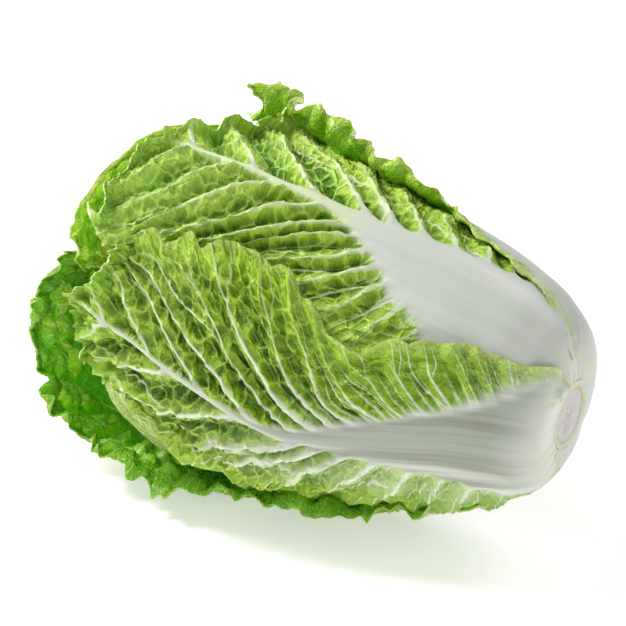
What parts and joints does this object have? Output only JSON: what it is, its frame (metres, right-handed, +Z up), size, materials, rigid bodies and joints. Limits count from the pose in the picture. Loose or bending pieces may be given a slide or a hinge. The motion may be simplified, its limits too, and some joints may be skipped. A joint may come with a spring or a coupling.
{
  "type": "napa cabbage",
  "caption": "Whole head of napa cabbage lying on its side, with a cut stem, thick white stalks, pleated green leaves and frilly margins.",
  "frame": {"origin": "on the flat spot under the head that it rests on, below its centre of mass", "axes": "+X along the head towards the cut stem, +Y towards the back leaf, +Z up from the surface that it lies on"},
  "size_m": [0.287, 0.1917, 0.1922],
  "materials": {
    "cut_stem": "moist cut stem, pinkish white with a tan ring",
    "heart_leaves": "crisp pale yellow-green leaf",
    "outer_leaf": "crisp waxy green leaf with a white stalk and pale veins",
    "inner_leaf": "crisp light green leaf with a white stalk and pale veins"
  },
  "bodies": {
    "root": {"stem": "cut_stem", "heart": "heart_leaves", "front_leaf": "outer_leaf", "top_leaf": "outer_leaf", "back_leaf": "outer_leaf", "under_leaf": "outer_leaf", "second_back_leaf": "outer_leaf", "second_front_leaf": "inner_leaf", "second_top_leaf": "inner_leaf", "third_front_leaf": "inner_leaf", "third_top_leaf": "inner_leaf", "third_under_leaf": "inner_leaf"}
  },
  "joints": []
}
